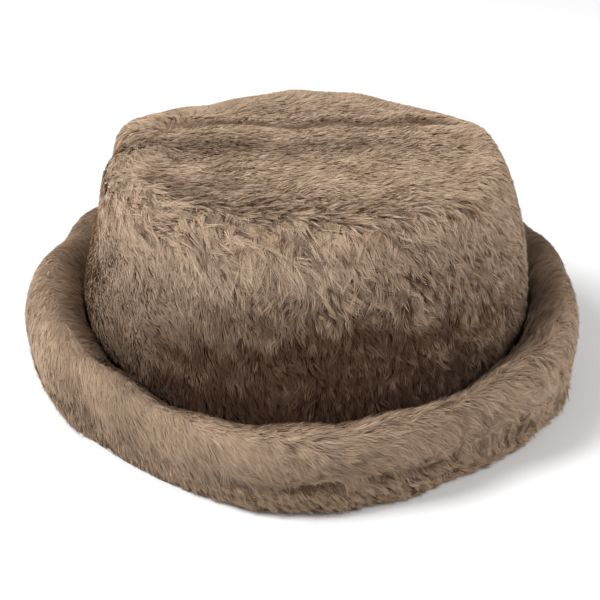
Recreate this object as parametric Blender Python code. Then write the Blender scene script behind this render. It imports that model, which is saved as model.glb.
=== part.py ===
"""A bucket hat of deep fur cloth: a flat tip, a flaring side wall and a fat turned brim of two plies.

Everything is in metres, +Z up, with the hat resting on the floor at z = 0.
Azimuths are in degrees: 0 is the hat's +X side, 90 its back and 270 its front, which looks along -Y.
"""

import math
from collections import namedtuple

import bmesh
import bpy


def table(columns, *rows):
    """A short table: each row's values go by the names of the columns."""
    row_kind = namedtuple("Row", columns)
    return [row_kind(*row) for row in rows]


# Head and cloth
HEAD_RADIUS = 0.0905  # the opening for the head, a 57 cm head size
FUR_PLY = 0.0168  # backing and pile of one ply of the fur cloth
GAP = 0.0003  # kept between neighbouring pieces

# Crown
HAT_HEIGHT = 0.108  # floor to the top of the tip
WALL_BOTTOM = 0.006  # floor to the bottom edge of the side wall
SHOULDER_DROP = 0.0075  # from the top of the tip down to its seam
TIP_SEAM_RADIUS = 0.0930
TIP_EDGE_WIDTH = 0.0100  # the rounded band just inside the tip's seam
TIP_THICKNESS = 0.0130
TIP_DISH = 0.0030  # how far the middle of the tip sinks
BACK_SLUMP = 0.0010  # how far the tip sinks behind its storage fold

# Brim
BRIM_REACH = 0.0275  # from the widest part of the wall out to the brim's edge
BRIM_HEIGHT = 0.0500  # floor to the top of the roll
PARTING_HEIGHT = 0.0150  # floor to the seam between the two plies, at the edge
FOOT_WIDTH = 0.0120  # the flat ring that the hat stands on
PLY_PARTING_AT_WALL = 0.35  # where the plies part at the wall, as a share up to the crease
VALLEY_OPENNESS = 0.55  # 0 rolls the brim's inner side round, 1 makes it a straight slope

# Storage fold across the tip
FOLD_BACK = 0.0420  # from the middle of the tip back to the ridge
FOLD_RISE = 0.0035
FOLD_WIDTH = 0.0070
GROOVE_FRONT = 0.0085  # from the ridge forward to the groove
GROOVE_DEPTH = 0.0030

# Fur locks
LOCK_RISE = 0.0026  # how far a lock's end stands out
TIP_LOCK_RISE = 0.0012  # the same on the tip, where the fur lies flat
LOCKS_AROUND = 36
WALL_LOCK_ROWS = 5
TIP_LOCKS_ACROSS = 18
BRIM_TOP_LOCK_ROWS = 4
BRIM_UNDER_LOCK_ROWS = 2

# How finely the outlines and the plain faces are divided
WALL_INNER_STEPS = 4
STEPS_PER_LOCK_ROW = 4  # along the side wall's outline, before the locks are raised on it
QUARTER_STEPS = 8  # round a quarter of the brim's roll
BELLY_STEPS = 4  # from the roll's widest place down to the seam of the plies
UNDERSIDE_STEPS = 16  # from the roll's widest place down to the foot
PLY_CUT_STEPS = 2
SHARP_ANGLE = 50  # degrees between faces, from which an edge is shaded hard

# The side wall from its bottom to the tip's seam. flare is 1 at the widest radius and 0 at the seam,
# ply is the share of the fur cloth's thickness.
WALL = table(
    "height flare ply",
    (0.00, 0.78, 0.84),
    (0.12, 0.93, 0.93),
    (0.26, 1.00, 1.00),
    (0.46, 0.91, 1.00),
    (0.66, 0.69, 1.00),
    (0.86, 0.36, 1.00),
    (1.00, 0.00, 1.00),
)

# The tip's rounded edge from its seam inwards. drop is 1 at the seam and 0 at the top.
EDGE = table(
    "inwards drop",
    (0.00, 1.00),
    (0.40, 0.42),
    (1.00, 0.06),
)

# Corners that the storage fold pushes out at the shoulder, sized as a share of TIP_SEAM_RADIUS.
CORNERS = table(
    "azimuth width size",
    (152, 15, 0.085),
    (27, 13, 0.042),
)

# The roll of the brim round the hat. reach and crest are shares of BRIM_REACH and BRIM_HEIGHT,
# crease is where the roll meets the wall, 0 at the wall's bottom and 1 at BRIM_HEIGHT, ridge is
# where the crest lies between wall and edge, and belly is the share of the crest's height where
# the roll is widest.
BRIM = table(
    "azimuth reach crest crease ridge belly",
    (0, 0.86, 1.00, 0.78, 0.58, 0.58),
    (35, 0.88, 1.02, 0.84, 0.56, 0.58),
    (90, 0.98, 1.06, 0.86, 0.52, 0.58),
    (140, 1.05, 1.04, 0.84, 0.50, 0.58),
    (180, 1.10, 1.01, 0.78, 0.50, 0.56),
    (210, 1.02, 0.90, 0.62, 0.54, 0.54),
    (240, 0.85, 0.72, 0.42, 0.62, 0.56),
    (270, 1.01, 0.74, 0.48, 0.60, 0.54),
    (300, 0.86, 0.78, 0.54, 0.58, 0.54),
    (335, 0.95, 0.92, 0.62, 0.58, 0.54),
)

# Wide soft dents that pull the brim's edge in, sized as a share of BRIM_REACH.
DENTS = table(
    "azimuth width size",
    (240, 12, 0.10),
    (165, 10, 0.05),
)

COLUMNS_AROUND = 2 * LOCKS_AROUND
LOCK_LINES = ((0.00, 0.00), (0.52, 0.62), (0.93, 1.00))  # along a lock and how far it stands out
CLEFT_LINES = ((0.00, 0.00), (0.40, 0.10), (0.74, 0.04))  # the same between two locks

FUR_TIP = (0.33, 0.25, 0.19, 1.0)
FUR_WALL = (0.27, 0.20, 0.15, 1.0)
FUR_BRIM = (0.30, 0.23, 0.17, 1.0)
FUR_UNDER = (0.24, 0.19, 0.14, 1.0)
COMBED_ROUGHNESS = 0.85  # where the pile lies over
TUFTED_ROUGHNESS = 0.90  # where it stands up or hangs


def clear_scene():
    for thing in list(bpy.data.objects):
        bpy.data.objects.remove(thing, do_unlink=True)


def mix(a, b, t):
    return a + (b - a) * t


def ease(t):
    t = min(1.0, max(0.0, t))
    return t * t * (3 - 2 * t)


def curve_through(stops, values, at):
    """The value at a place on the smooth curve through the stops, level past its ends."""
    if at <= stops[0]:
        return values[0]
    if at >= stops[-1]:
        return values[-1]
    k = max(i for i in range(len(stops) - 1) if stops[i] <= at)
    span = stops[k + 1] - stops[k]
    t = (at - stops[k]) / span
    before, after = max(k - 1, 0), min(k + 2, len(stops) - 1)
    slope_in = (values[k + 1] - values[before]) / (stops[k + 1] - stops[before]) * span
    slope_out = (values[after] - values[k]) / (stops[after] - stops[k]) * span
    t2, t3 = t * t, t * t * t
    value = (2 * t3 - 3 * t2 + 1) * values[k] + (3 * t2 - 2 * t3) * values[k + 1]
    return value + (t3 - 2 * t2 + t) * slope_in + (t3 - t2) * slope_out


def column(rows, name):
    return [getattr(row, name) for row in rows]


def brim_value(name, azimuth):
    """A column of the brim's table at an azimuth, on a curve that closes on itself."""
    stops = column(BRIM, "azimuth")
    values = column(BRIM, name)
    stops = [stops[-2] - 360, stops[-1] - 360, *stops, stops[0] + 360, stops[1] + 360]
    values = [values[-2], values[-1], *values, values[0], values[1]]
    return curve_through(stops, values, azimuth % 360)


def swells(rows, azimuth):
    """The sum of soft swells at an azimuth: each row has its middle, its width and its size."""
    total = 0.0
    for row in rows:
        away = (azimuth - row.azimuth + 180) % 360 - 180
        total += row.size * math.exp(-((away / row.width) ** 2))
    return total


def seam_height():
    return HAT_HEIGHT - SHOULDER_DROP


def widest_radius():
    return HEAD_RADIUS + FUR_PLY


def wall_value(name, z):
    share = (z - WALL_BOTTOM) / (seam_height() - WALL_BOTTOM)
    return curve_through(column(WALL, "height"), column(WALL, name), share)


def corner_push(z, azimuth):
    """How far a fold's corner pushes the wall out: nothing at the roll, all of it at the seam."""
    share = (z - BRIM_HEIGHT) / (seam_height() - BRIM_HEIGHT)
    return TIP_SEAM_RADIUS * swells(CORNERS, azimuth) * ease(share) ** 2


def wall_radius(z, azimuth):
    """The outer radius of the side wall at a height."""
    plain = mix(TIP_SEAM_RADIUS, widest_radius(), wall_value("flare", z))
    return plain + corner_push(z, azimuth)


def wall_inner_radius(z, azimuth):
    return wall_radius(z, azimuth) - FUR_PLY * wall_value("ply", z)


def cut_ends(azimuth):
    """The cut between side wall and tip: its ends at the seam and at the hollow."""
    seam = (wall_radius(seam_height(), azimuth), seam_height())
    return seam, (wall_inner_radius(seam_height(), azimuth), HAT_HEIGHT - TIP_THICKNESS)


def quarter(start, end, upright_first, share=1.0, steps=QUARTER_STEPS):
    """A quarter of an ellipse between two points, or the first share of it, as radius and height."""
    points = []
    for k in range(steps + 1):
        turn = math.pi / 2 * share * k / steps
        slow, quick = 1 - math.cos(turn), math.sin(turn)
        of_r, of_z = (slow, quick) if upright_first else (quick, slow)
        points.append((mix(start[0], end[0], of_r), mix(start[1], end[1], of_z)))
    return points


def flattened(points, straight):
    """The curve drawn part of the way to the straight line between its ends."""
    last = len(points) - 1
    drawn = []
    for k, (r, z) in enumerate(points):
        t = k / last
        line = (mix(points[0][0], points[-1][0], t), mix(points[0][1], points[-1][1], t))
        drawn.append((mix(r, line[0], straight), mix(z, line[1], straight)))
    return drawn


def lock_lines(rows, column_index):
    """Places along the fur's lay, 0 to 1, and how far the fur stands out there, for one column.

    Every other column runs down the middle of a lock, and the next row's locks lie between them.
    """
    lines = []
    for row in range(rows):
        shape = LOCK_LINES if (row + column_index) % 2 == 0 else CLEFT_LINES
        for along, rise in shape:
            place = (row + along) / rows
            fade = min(1.0, place * rows, (1 - place) * rows)
            lines.append((place, rise * fade * LOCK_RISE))
    lines.append((1.0, 0.0))
    return lines


def at_share(outline, place):
    """The point and the outward direction at a share of an outline's length, outside on its left."""
    lengths = [math.dist(a, b) for a, b in zip(outline, outline[1:])]
    left = place * sum(lengths)
    k = 0
    while k < len(lengths) - 1 and left > lengths[k]:
        left -= lengths[k]
        k += 1
    (r0, z0), (r1, z1) = outline[k], outline[k + 1]
    t = min(1.0, left / lengths[k])
    outward = ((z0 - z1) / lengths[k], (r1 - r0) / lengths[k])
    return (mix(r0, r1, t), mix(z0, z1, t)), outward


def furred(outline, rows, column_index):
    """An outline's points with the locks raised on it. It runs with the fur's lay."""
    points = []
    for place, rise in lock_lines(rows, column_index):
        (r, z), (out_r, out_z) = at_share(outline, place)
        points.append((r + out_r * rise, z + out_z * rise))
    points[0] = outline[0]
    points[-1] = outline[-1]
    return points


def contact_heights(azimuth):
    """Where the roll leans on the side wall: the crease, the plies' parting and the wall's bottom."""
    crease = mix(WALL_BOTTOM, BRIM_HEIGHT, brim_value("crease", azimuth))
    return crease, mix(WALL_BOTTOM, crease, PLY_PARTING_AT_WALL), WALL_BOTTOM


def contact_point(z, azimuth):
    return wall_radius(z, azimuth) + GAP, z


def wall_section(azimuth, column_index):
    """The side wall: up its inside, over the cut, down its furred outside and behind the roll."""
    crease, parting, bottom = contact_heights(azimuth)
    (seam_r, seam_z), (inner_r, inner_z) = cut_ends(azimuth)
    seam, inner = (seam_r, seam_z - GAP), (inner_r, inner_z - GAP)
    levels = [mix(bottom, inner[1], k / WALL_INNER_STEPS) for k in range(WALL_INNER_STEPS)]
    inside = [(wall_inner_radius(z, azimuth), z) for z in levels] + [inner]
    steps = STEPS_PER_LOCK_ROW * WALL_LOCK_ROWS
    heights = [mix(seam[1], crease, k / steps) for k in range(1, steps + 1)]
    outline = [seam] + [(wall_radius(z, azimuth), z) for z in heights]
    behind = [(wall_radius(z, azimuth), z) for z in (parting, bottom)]
    return inside + furred(outline, WALL_LOCK_ROWS, column_index) + behind


def roll_outline(azimuth):
    """The roll's outline from the crease over its crest to the seam of its plies, and on to the foot."""
    crease = contact_point(contact_heights(azimuth)[0], azimuth)
    edge = widest_radius() + BRIM_REACH * (brim_value("reach", azimuth) - swells(DENTS, azimuth))
    top = BRIM_HEIGHT * brim_value("crest", azimuth)
    ridge = mix(crease[0], edge, brim_value("ridge", azimuth))
    widest = (edge, top * brim_value("belly", azimuth))
    foot = (ridge + FOOT_WIDTH / 2, 0.0)
    turned = 1 - min(1.0, PARTING_HEIGHT / widest[1])
    share = math.asin(turned) / (math.pi / 2)
    inner = flattened(quarter(crease, (ridge, top), True), VALLEY_OPENNESS)
    outer = quarter((ridge, top), widest, False)
    belly = quarter(widest, foot, True, share, BELLY_STEPS)
    whole = quarter(widest, foot, True, 1.0, UNDERSIDE_STEPS)
    below = [belly[-1]] + [point for point in whole if point[1] < belly[-1][1] - GAP]
    return inner + outer[1:] + belly[1:], below


def ply_cut(azimuth, seam):
    """The cut between the plies, from their seam at the edge to the side wall."""
    wall_end = contact_point(contact_heights(azimuth)[1], azimuth)
    shares = [k / PLY_CUT_STEPS for k in range(1, PLY_CUT_STEPS + 1)]
    return [(mix(seam[0], wall_end[0], t), mix(seam[1], wall_end[1], t)) for t in shares]


def brim_top_section(azimuth, column_index):
    upper, _ = roll_outline(azimuth)
    return furred(upper, BRIM_TOP_LOCK_ROWS, column_index) + ply_cut(azimuth, upper[-1])


def brim_under_section(azimuth, column_index):
    """The under ply: down its furred outside, along the foot, up to the wall and back over the cut."""
    upper, below = roll_outline(azimuth)
    below = [(below[0][0], below[0][1] - GAP)] + below[1:]
    foot_inner = (below[-1][0] - FOOT_WIDTH, 0.0)
    wall_end = contact_point(contact_heights(azimuth)[2], azimuth)
    cut = [(r, z - GAP) for r, z in reversed(ply_cut(azimuth, upper[-1]))]
    shown = [(r, max(z, 0.0)) for r, z in furred(below, BRIM_UNDER_LOCK_ROWS, column_index)]
    return shown + [foot_inner, wall_end] + cut


def on_azimuth(r, z, azimuth):
    turn = math.radians(azimuth)
    return r * math.cos(turn), r * math.sin(turn), z


def finished(name, mesh, material):
    """An object from a closed bmesh, faces outward and shaded smooth apart from its hard edges."""
    bmesh.ops.recalc_face_normals(mesh, faces=mesh.faces)
    bmesh.ops.triangulate(mesh, faces=mesh.faces)
    data = bpy.data.meshes.new(name)
    mesh.to_mesh(data)
    mesh.free()
    data.shade_smooth()
    data.set_sharp_from_angle(angle=math.radians(SHARP_ANGLE))
    data.materials.append(material)
    thing = bpy.data.objects.new(name, data)
    bpy.context.scene.collection.objects.link(thing)
    return thing


def ring_piece(name, section, material):
    """A piece that goes all the way round: its section at each azimuth, bridged to the next."""
    mesh = bmesh.new()
    loops = []
    for k in range(COLUMNS_AROUND):
        azimuth = 360 * k / COLUMNS_AROUND
        points = [on_azimuth(r, z, azimuth) for r, z in section(azimuth, k)]
        loops.append([mesh.verts.new(point) for point in points])
    for k, loop in enumerate(loops):
        beside = loops[(k + 1) % COLUMNS_AROUND]
        for i, vert in enumerate(loop):
            j = (i + 1) % len(loop)
            mesh.faces.new((vert, beside[i], beside[j], loop[j]))
    return finished(name, mesh, material)


def fold_relief(y):
    """The storage fold: a ridge across the tip, a groove before it and a lower stretch behind."""
    ridge = FOLD_RISE * math.exp(-(((y - FOLD_BACK) / FOLD_WIDTH) ** 2))
    groove = GROOVE_DEPTH * math.exp(-(((y - FOLD_BACK + GROOVE_FRONT) / FOLD_WIDTH) ** 2))
    behind = BACK_SLUMP * ease((y - FOLD_BACK) / (TIP_SEAM_RADIUS - FOLD_BACK))
    return ridge - groove - behind


def tip_height(x, y, rim):
    """The top of the tip inside its rounded edge: a shallow dish with the fold across it."""
    inside = ease((rim - math.hypot(x, y)) / TIP_EDGE_WIDTH)
    dish = TIP_DISH * max(0.0, 1 - (x * x + y * y) / (rim * rim))
    return HAT_HEIGHT - EDGE[-1].drop * SHOULDER_DROP * (1 - inside) - dish + inside * fold_relief(y)


def tip_ring(mesh, share_in, drop):
    """A ring of points inside the seam, by a share of the edge's width and of the drop."""
    ring = []
    for k in range(COLUMNS_AROUND):
        azimuth = 360 * k / COLUMNS_AROUND
        r = cut_ends(azimuth)[0][0] - share_in * TIP_EDGE_WIDTH
        ring.append(mesh.verts.new(on_azimuth(r, HAT_HEIGHT - drop * SHOULDER_DROP, azimuth)))
    return ring


def chord_row(mesh, right, left, row):
    """Points on the straight line between two rim points, with a low lock at every other one."""
    points = [right]
    rim = math.hypot(right.co.x, right.co.y)
    for j in range(1, TIP_LOCKS_ACROSS):
        share = j / TIP_LOCKS_ACROSS
        x, y = mix(right.co.x, left.co.x, share), mix(right.co.y, left.co.y, share)
        lock = TIP_LOCK_RISE * ((row + j) % 2) * ease((rim - math.hypot(x, y)) / TIP_EDGE_WIDTH)
        points.append(mesh.verts.new((x, y, tip_height(x, y, rim) + lock)))
    return points + [left]


def cross_fill(mesh, rim):
    """Fills the rim with straight rows across the tip, so that the storage fold runs along one."""
    count = len(rim)
    half = count // 2
    front = 3 * count // 4
    rows = [[rim[front]]]
    for k in range(1, half):
        right, left = rim[(front + k) % count], rim[(front - k) % count]
        rows.append(chord_row(mesh, right, left, k))
    rows.append([rim[(front + half) % count]])
    for near, far in zip(rows, rows[1:]):
        if len(near) == 1:
            for a, b in zip(far, far[1:]):
                mesh.faces.new((near[0], a, b))
        elif len(far) == 1:
            for a, b in zip(near, near[1:]):
                mesh.faces.new((a, far[0], b))
        else:
            for j in range(TIP_LOCKS_ACROSS):
                mesh.faces.new((near[j], far[j], far[j + 1], near[j + 1]))


def join_rings(mesh, first, second):
    for k in range(len(first)):
        j = (k + 1) % len(first)
        mesh.faces.new((first[k], first[j], second[j], second[k]))


def make_tip(material):
    mesh = bmesh.new()
    top = [tip_ring(mesh, row.inwards, row.drop) for row in EDGE]
    hollow = []
    for k in range(COLUMNS_AROUND):
        azimuth = 360 * k / COLUMNS_AROUND
        hollow.append(mesh.verts.new(on_azimuth(*cut_ends(azimuth)[1], azimuth)))
    middle = mesh.verts.new((0, 0, hollow[0].co.z))
    for outer, inner in zip(top, top[1:]):
        join_rings(mesh, outer, inner)
    join_rings(mesh, hollow, top[0])
    cross_fill(mesh, top[-1])
    for k in range(COLUMNS_AROUND):
        mesh.faces.new((hollow[k], middle, hollow[(k + 1) % COLUMNS_AROUND]))
    return finished("tip", mesh, material)


def fur(name, colour, roughness):
    material = bpy.data.materials.new(name)
    material.use_nodes = True
    shader = material.node_tree.nodes["Principled BSDF"]
    shader.inputs["Base Color"].default_value = colour
    shader.inputs["Roughness"].default_value = roughness
    shader.inputs["Metallic"].default_value = 0.0
    material.diffuse_color = colour
    return material


def centre_on_floor(things):
    """Moves the hat so that its box stands centred on the floor."""
    points = [vert.co for thing in things for vert in thing.data.vertices]
    low = [min(point[axis] for point in points) for axis in range(3)]
    high = [max(point[axis] for point in points) for axis in range(3)]
    shift = (-(low[0] + high[0]) / 2, -(low[1] + high[1]) / 2, -low[2])
    for thing in things:
        thing.location = shift


def build():
    clear_scene()
    pieces = [
        make_tip(fur("tip_fur", FUR_TIP, COMBED_ROUGHNESS)),
        ring_piece("crown_side", wall_section, fur("wall_fur", FUR_WALL, TUFTED_ROUGHNESS)),
        ring_piece("brim_top", brim_top_section, fur("brim_fur", FUR_BRIM, COMBED_ROUGHNESS)),
        ring_piece("brim_under", brim_under_section, fur("under_fur", FUR_UNDER, TUFTED_ROUGHNESS)),
    ]
    centre_on_floor(pieces)


build()
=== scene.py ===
import math

import bpy
import numpy as np
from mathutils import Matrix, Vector


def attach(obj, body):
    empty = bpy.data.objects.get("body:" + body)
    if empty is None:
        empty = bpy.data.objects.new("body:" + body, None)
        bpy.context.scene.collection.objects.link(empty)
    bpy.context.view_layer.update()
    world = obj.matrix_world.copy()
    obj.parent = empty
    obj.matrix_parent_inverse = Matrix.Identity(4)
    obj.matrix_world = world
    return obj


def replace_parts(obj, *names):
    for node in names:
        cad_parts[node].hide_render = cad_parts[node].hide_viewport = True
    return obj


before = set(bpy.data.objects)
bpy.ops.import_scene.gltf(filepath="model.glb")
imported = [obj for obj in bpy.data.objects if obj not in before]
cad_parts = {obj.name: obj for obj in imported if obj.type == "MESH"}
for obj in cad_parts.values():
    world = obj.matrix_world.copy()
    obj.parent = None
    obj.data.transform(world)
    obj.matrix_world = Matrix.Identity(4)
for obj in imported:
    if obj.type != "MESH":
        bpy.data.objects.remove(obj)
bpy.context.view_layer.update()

# The hat's own sizes, in metres. Azimuths are in degrees: 0 is +X and 270 the front.
hat = {
    "axis": (0.00315, -0.00022),  # where the crown's axis stands in the frame
    "headRadius": 0.0905,
    "furPly": 0.0168,
    "height": 0.108,
    "wallBottom": 0.006,
    "shoulderDrop": 0.0075,
    "seamRadius": 0.0930,
    "edgeWidth": 0.0100,
    "edgeLength": 0.0125,  # along the rounded edge of the tip
    "wallSlope": 0.97,  # how far a step down the wall past the seam goes straight down
    "tipThickness": 0.0130,
    "tipDish": 0.0014,
    "backSlump": 0.0010,
    "brimReach": 0.0275,
    "brimHeight": 0.0500,
    "partingHeight": 0.0150,
    "footWidth": 0.0120,
    "valleyOpenness": 0.55,
    "foldBack": 0.0380,
    "foldRise": 0.0036,
    "foldWidth": 0.0021,
    "grooveFront": 0.0046,
    "grooveDepth": 0.0008,
    "swellFront": 0.0090,  # a second, softer ridge before the groove
    "swellRise": 0.0003,
    "swellWidth": 0.00336,
    "seamPinch": 0.0026,  # how far the seam at the brim's edge pulls in where it shows most
    "pinchWidth": 0.085,
    "lumps": 0.0014,  # how far the cloth swells and sinks under the pile
    "lumpSize": 0.045,
    "floorGap": 0.0003,
}
seamHeight = hat["height"] - hat["shoulderDrop"]
widestRadius = hat["headRadius"] + hat["furPly"]

# The side wall from its bottom to the seam: height, flare, ply
wallStops = np.array([
    (0.00, 0.78, 0.84), (0.12, 0.93, 0.93), (0.26, 1.00, 1.00), (0.46, 0.91, 1.00),
    (0.66, 0.69, 1.00), (0.86, 0.36, 1.00), (1.00, 0.00, 1.00)])

# The tip's edge from its flat side out to the seam: along, inwards, drop
edgeStops = np.array([(0.0, 1.0, 0.06), (0.53, 0.40, 0.42), (1.0, 0.0, 1.0)])

# The brim's roll: azimuth, reach, crest, crease, ridge, belly
brimStops = np.array([
    (0, 0.86, 1.00, 0.78, 0.58, 0.58), (35, 0.88, 1.02, 0.84, 0.56, 0.58),
    (90, 0.98, 1.06, 0.86, 0.52, 0.58), (140, 1.05, 1.04, 0.84, 0.50, 0.58),
    (180, 1.10, 1.01, 0.78, 0.50, 0.56), (210, 1.02, 0.90, 0.62, 0.54, 0.54),
    (240, 0.85, 0.72, 0.42, 0.62, 0.56), (270, 1.01, 0.74, 0.48, 0.60, 0.54),
    (300, 0.86, 0.78, 0.54, 0.58, 0.54), (335, 0.95, 0.92, 0.62, 0.58, 0.54)])
brimColumns = {"reach": 1, "crest": 2, "crease": 3, "ridge": 4, "belly": 5}

# Soft swells: azimuth, width, size
cornerSwells = ((152, 15, 0.085), (27, 13, 0.042))
brimDents = ((226, 20, 0.22), (165, 8, 0.10), (299, 15, 0.13))

# How much the seam at the brim's edge shows round the hat
seamShows = ((298, 46, 0.80), (118, 400, 0.20))


# In a straight line from a at 0 to b at 1
def mix(a, b, t):
    return a + (b - a) * t


# From 0 to 1 with level ends: t^2 * (3 - 2t)
def ease(t):
    t = np.clip(t, 0.0, 1.0)
    return t * t * (3 - 2 * t)


# Soft hill of 1 at the middle: exp(-(distance / width)^2)
def hill(value, middle, width):
    return np.exp(-(((value - middle) / width) ** 2))


# Vectors divided by their own lengths
def unit(vectors):
    return vectors / np.maximum(np.linalg.norm(vectors, axis=-1, keepdims=True), 1e-12)


# Smooth curve through the stops: a cubic on each stretch, with its slopes from the neighbours
def curveThrough(stops, values, at):
    at = np.clip(at, stops[0], stops[-1])
    k = np.clip(np.searchsorted(stops, at, side="right") - 1, 0, len(stops) - 2)
    before, after = np.maximum(k - 1, 0), np.minimum(k + 2, len(stops) - 1)
    span = stops[k + 1] - stops[k]
    t = (at - stops[k]) / span
    slopeIn = (values[k + 1] - values[before]) / (stops[k + 1] - stops[before]) * span
    slopeOut = (values[after] - values[k]) / (stops[after] - stops[k]) * span
    value = (2 * t**3 - 3 * t**2 + 1) * values[k] + (3 * t**2 - 2 * t**3) * values[k + 1]
    return value + (t**3 - 2 * t**2 + t) * slopeIn + (t**3 - t**2) * slopeOut


# One column of brimStops at an azimuth, on a smooth curve that closes round the hat
def brimValue(name, azimuth):
    wrapped = np.vstack([brimStops[-2:], brimStops, brimStops[:2]])
    stops = wrapped[:, 0] + np.array([-360] * 2 + [0] * len(brimStops) + [360] * 2)
    return curveThrough(stops, wrapped[:, brimColumns[name]], azimuth % 360)


# Sum of size * exp(-(distance / width)^2) round the hat
def swells(rows, azimuth):
    total = np.zeros_like(azimuth, dtype=float)
    for middle, width, size in rows:
        away = (azimuth - middle + 180) % 360 - 180
        total += size * np.exp(-((away / width) ** 2))
    return total


waves = {"count": 24, "lengths": (0.6, 1.5), "calm": 1.6}


# Soft noise of about -1 to 1: many plane waves in random directions, added up
def softNoise(points, size, seed):
    rng = np.random.default_rng(seed)
    directions = unit(rng.normal(size=(waves["count"], 3))) * (2 * math.pi / size)
    directions *= rng.uniform(*waves["lengths"], (waves["count"], 1))
    phases = rng.uniform(0, 2 * math.pi, waves["count"])
    total = np.sin(points @ directions.T + phases).sum(axis=-1)
    return total * math.sqrt(2 / waves["count"]) / waves["calm"]


lumpSeed = 11


# Points moved out and in along their normals by soft noise
def lumpy(points, outward):
    return points + outward * (softNoise(points, hat["lumpSize"], lumpSeed) * hat["lumps"])[..., None]


# Points at a radius and an azimuth from the hat's axis, at a height
def placed(radius, height, azimuth):
    turn = np.radians(azimuth)
    x = hat["axis"][0] + radius * np.cos(turn)
    y = hat["axis"][1] + radius * np.sin(turn)
    return np.stack([x, y, np.broadcast_to(height, x.shape)], axis=-1)


# The wall's radius goes from the seam's to the widest by the flare, and the fold's corners push it out
def wallRadius(z, azimuth):
    share = (z - hat["wallBottom"]) / (seamHeight - hat["wallBottom"])
    flare = curveThrough(wallStops[:, 0], wallStops[:, 1], share)
    rise = ease((z - hat["brimHeight"]) / (seamHeight - hat["brimHeight"])) ** 2
    corners = hat["seamRadius"] * swells(cornerSwells, azimuth) * rise
    return mix(hat["seamRadius"], widestRadius, flare) + corners


# The outer radius less the ply, which is thinner at the foot
def wallInnerRadius(z, azimuth):
    share = (z - hat["wallBottom"]) / (seamHeight - hat["wallBottom"])
    return wallRadius(z, azimuth) - hat["furPly"] * curveThrough(wallStops[:, 0], wallStops[:, 2], share)


# Where the roll leaves the wall: a share of the way from the wall's bottom to the brim's height
def creaseHeight(azimuth):
    return mix(hat["wallBottom"], hat["brimHeight"], brimValue("crease", azimuth))


# Wall: azimuth, and 0 at the seam to 1 at the crease; past 1 it goes on down behind the roll
def wallSurface(azimuth, along):
    z = np.maximum(mix(seamHeight, creaseHeight(azimuth), along), hat["wallBottom"])
    z = np.minimum(z, seamHeight)
    return placed(wallRadius(z, azimuth), z, azimuth)


# Across the tip: the fold's ridge, less the groove before it, plus a swell, less the slump behind
def foldRelief(y):
    ahead = hat["foldBack"] - y
    ridge = hat["foldRise"] * hill(ahead, 0.0, hat["foldWidth"])
    groove = hat["grooveDepth"] * hill(ahead, hat["grooveFront"], hat["foldWidth"])
    swell = hat["swellRise"] * hill(ahead, hat["swellFront"], hat["swellWidth"])
    behind = hat["backSlump"] * ease(-ahead / (hat["seamRadius"] - hat["foldBack"]))
    return ridge - groove + swell - behind


# Tip: two distances along the cloth from its middle. Flat with a shallow dish and the fold, then the
# rounded edge, then on down the wall.
def tipSurface(back, right, relief=1.0):
    along = np.hypot(back, right)
    azimuth = np.degrees(np.arctan2(back, right))
    seam = wallRadius(np.full_like(along, seamHeight), azimuth)
    rimRadius = seam - hat["edgeWidth"]
    onEdge = (along - rimRadius) / hat["edgeLength"]
    inwards = curveThrough(edgeStops[:, 0], edgeStops[:, 1], onEdge)
    drop = curveThrough(edgeStops[:, 0], edgeStops[:, 2], onEdge)
    past = np.maximum(along - rimRadius - hat["edgeLength"], 0.0)
    rounded = hat["height"] - drop * hat["shoulderDrop"] - past * hat["wallSlope"]
    edge = np.where(past > 0, wallRadius(rounded, azimuth), seam - inwards * hat["edgeWidth"])
    radius = np.where(onEdge < 0, along, edge)
    x, y = radius * np.cos(np.radians(azimuth)), radius * np.sin(np.radians(azimuth))
    inside = ease((rimRadius - radius) / hat["edgeWidth"])
    dish = hat["tipDish"] * np.maximum(0.0, 1 - (radius / rimRadius) ** 2)
    rim = hat["height"] - edgeStops[0, 2] * hat["shoulderDrop"] * (1 - inside)
    flat = rim - dish + relief * inside * foldRelief(y)
    height = np.where(onEdge < 0, flat, rounded)
    return np.stack([x + hat["axis"][0], y + hat["axis"][1], height], axis=-1)


# The tip without its fold, for the cloth under the pile
def tipCloth(back, right):
    return tipSurface(back, right, 0.0)


# How far the seam is from the tip's middle, along the cloth
def seamAlong(azimuth):
    return wallRadius(np.full_like(azimuth, seamHeight), azimuth) - hat["edgeWidth"] + hat["edgeLength"]


# Radius and height of the crease, the crest and the widest place of the roll
def rollMarks(azimuth):
    crease = creaseHeight(azimuth)
    start = wallRadius(crease, azimuth)
    edge = widestRadius + hat["brimReach"] * (brimValue("reach", azimuth) - swells(brimDents, azimuth))
    top = hat["brimHeight"] * brimValue("crest", azimuth)
    ridge = mix(start, edge, brimValue("ridge", azimuth))
    return start, crease, ridge, top, edge, top * brimValue("belly", azimuth)


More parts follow.
